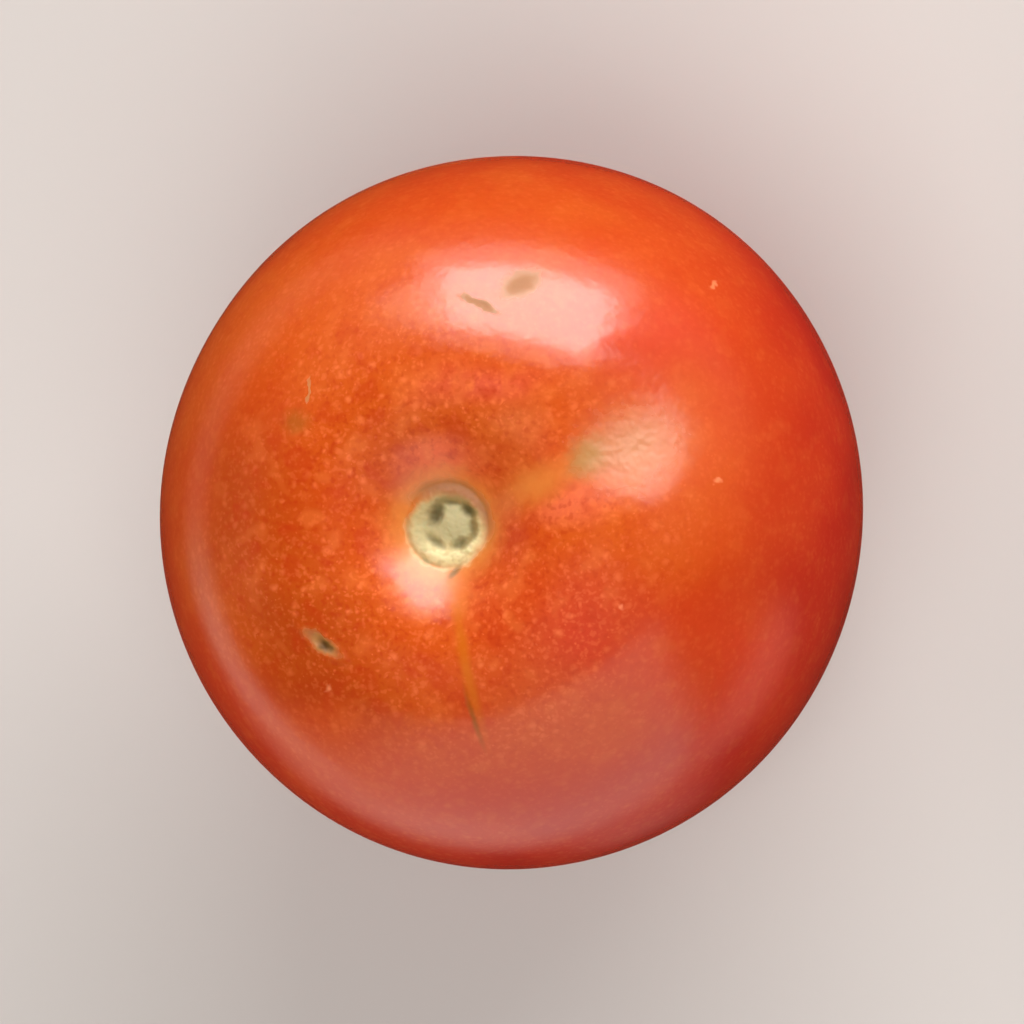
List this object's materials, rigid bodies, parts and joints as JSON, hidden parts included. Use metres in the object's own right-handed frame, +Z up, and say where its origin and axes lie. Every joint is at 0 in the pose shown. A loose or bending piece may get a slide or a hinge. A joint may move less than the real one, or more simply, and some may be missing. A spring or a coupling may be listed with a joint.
{
  "type": "round tomato",
  "caption": "Whole ripe round tomato picked without its calyx, with a corky stem scar in a shallow dish, faint shoulder furrows and a small flat spot that it stands on.",
  "frame": {"origin": "middle of the small flat spot at the blossom end, on the surface that the fruit stands on", "axes": "+Z up along the stem axis to the stem scar, +X to the right of the picture and +Y to its top"},
  "size_m": [0.0456, 0.0465, 0.0431],
  "materials": {
    "skin": "satin waxy orange-red skin with fine pale flecks, and a matt straw-coloured corky scar at the stem end"
  },
  "bodies": {
    "root": {"tomato": "skin"}
  },
  "joints": []
}
